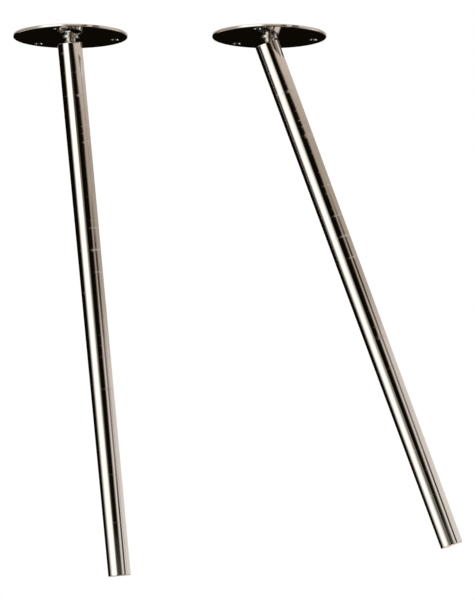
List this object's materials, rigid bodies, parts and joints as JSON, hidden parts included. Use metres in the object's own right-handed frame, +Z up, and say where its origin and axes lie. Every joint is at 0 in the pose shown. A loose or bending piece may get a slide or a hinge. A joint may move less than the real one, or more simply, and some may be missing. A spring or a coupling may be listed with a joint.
{
  "type": "pair of swivel plate tube legs",
  "caption": "Polished, slightly tapered tube legs, each hung from a round screw-on plate by a swivelling post and a hidden friction hinge that sets the lean.",
  "frame": {"origin": "centre of the left plate's top face, the face that lies against the furniture", "axes": "+Z up, out of the plates' top faces; +X from the left plate to the right plate; +Y away from the front"},
  "size_m": [0.5858, 0.1773, 0.7045],
  "materials": {
    "chrome": "mirror-polished chrome plate on steel",
    "zinc_steel": "bright zinc-plated steel",
    "aluminium": "turned aluminium",
    "nylon": "moulded natural nylon",
    "acetal": "turned black acetal"
  },
  "bodies": {
    "plates": {"left_mounting_plate": "chrome", "right_mounting_plate": "chrome"},
    "left_swivel_post": {"left_pivot_screw": "zinc_steel", "left_lock_ring": "chrome", "left_post": "chrome"},
    "left_leg": {"left_tube": "chrome", "left_clevis_plug": "aluminium", "left_hinge_pin": "zinc_steel", "left_eye_washers": "nylon", "left_friction_pad": "acetal", "left_disc_springs": "zinc_steel", "left_preload_screw": "zinc_steel", "left_foot_glide": "nylon"},
    "right_swivel_post": {"right_pivot_screw": "zinc_steel", "right_lock_ring": "chrome", "right_post": "chrome"},
    "right_leg": {"right_tube": "chrome", "right_clevis_plug": "aluminium", "right_hinge_pin": "zinc_steel", "right_eye_washers": "nylon", "right_friction_pad": "acetal", "right_disc_springs": "zinc_steel", "right_preload_screw": "zinc_steel", "right_foot_glide": "nylon"}
  },
  "joints": [
    {"name": "left_swivel", "type": "hinge", "parent": "plates", "child": "left_swivel_post", "pos_m": [0, 0, 0], "axis": [0, 0, 1], "range_deg": [-120, 120]},
    {"name": "left_tilt", "type": "hinge", "parent": "left_swivel_post", "child": "left_leg", "pos_m": [0, 0, -0.0215], "axis": [0.8049, -0.5934, 0], "range_deg": [-34.1, 15.9]},
    {"name": "right_swivel", "type": "hinge", "parent": "plates", "child": "right_swivel_post", "pos_m": [0.26, 0, 0], "axis": [0, 0, 1], "range_deg": [-120, 120]},
    {"name": "right_tilt", "type": "hinge", "parent": "right_swivel_post", "child": "right_leg", "pos_m": [0.26, 0, -0.0215], "axis": [0.2267, -0.974, 0], "range_deg": [-45.7, 4.3]}
  ]
}
